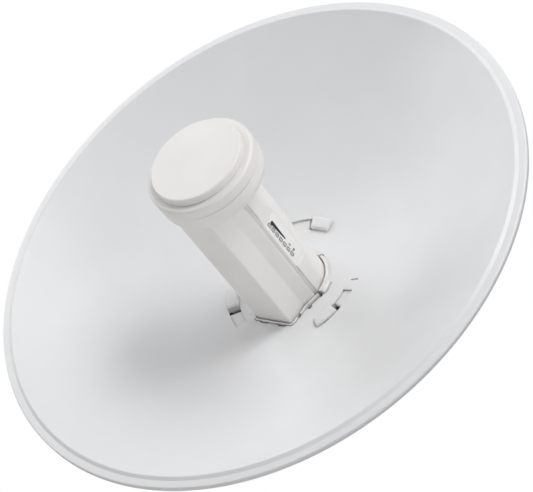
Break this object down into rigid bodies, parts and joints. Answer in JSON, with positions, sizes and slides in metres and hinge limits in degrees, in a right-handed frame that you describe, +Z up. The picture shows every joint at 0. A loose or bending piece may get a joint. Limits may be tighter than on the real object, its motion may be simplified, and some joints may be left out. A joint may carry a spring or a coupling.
{
  "type": "wireless dish antenna",
  "caption": "Round parabolic dish antenna with a central rod feed under a round cap, on a tilting steel pole bracket with a U-bolt.",
  "frame": {"origin": "centre of the flat rear face of the pole plate, between the two legs of the U-bolt", "axes": "+Z up, the dish looks along -Y, +X to the right as seen from in front"},
  "size_m": [0.42, 0.3097, 0.42],
  "materials": {
    "dish_paint": "white powder coat, satin",
    "feed_plastic": "warm white moulded plastic, satin",
    "housing_plastic": "light grey moulded plastic",
    "window_black": "black window film",
    "lens_smoke": "smoked light lens",
    "seal_rubber": "black rubber",
    "galvanised": "galvanised sheet steel",
    "zinc_plated": "zinc plated fasteners"
  },
  "bodies": {
    "pole_mount": {"pole_plate": "galvanised", "pivot_channel": "galvanised", "u_bolt": "zinc_plated", "u_bolt_nut_left": "zinc_plated", "u_bolt_nut_right": "zinc_plated", "pivot_bolt": "zinc_plated", "pivot_nut": "zinc_plated", "lock_bolt": "zinc_plated", "lock_nut": "zinc_plated", "ground_screw": "zinc_plated"},
    "dish_head": {"dish_reflector": "dish_paint", "lock_ring": "feed_plastic", "housing_collar": "feed_plastic", "rear_housing": "housing_plastic", "cable_door": "housing_plastic", "cable_grommet": "seal_rubber", "release_button": "housing_plastic", "feed_shell": "feed_plastic", "feed_cover": "feed_plastic", "feed_head_base": "feed_plastic", "feed_cap_rim": "feed_plastic", "feed_cap_disc": "feed_plastic", "led_panel": "feed_plastic", "status_bar_window": "window_black", "led_lens_1": "lens_smoke", "led_lens_2": "lens_smoke", "led_lens_3": "lens_smoke", "led_lens_4": "lens_smoke", "led_lens_5": "lens_smoke", "led_lens_6": "lens_smoke", "led_lens_7": "lens_smoke", "reset_button": "window_black", "alignment_bracket": "galvanised", "bracket_screw_1": "zinc_plated", "bracket_screw_2": "zinc_plated", "bracket_screw_3": "zinc_plated", "bracket_screw_4": "zinc_plated"}
  },
  "joints": [
    {"name": "elevation_tilt", "type": "hinge", "parent": "pole_mount", "child": "dish_head", "pos_m": [0, -0.035, 0], "axis": [-1, 0, 0], "range_deg": [-20, 20]}
  ]
}
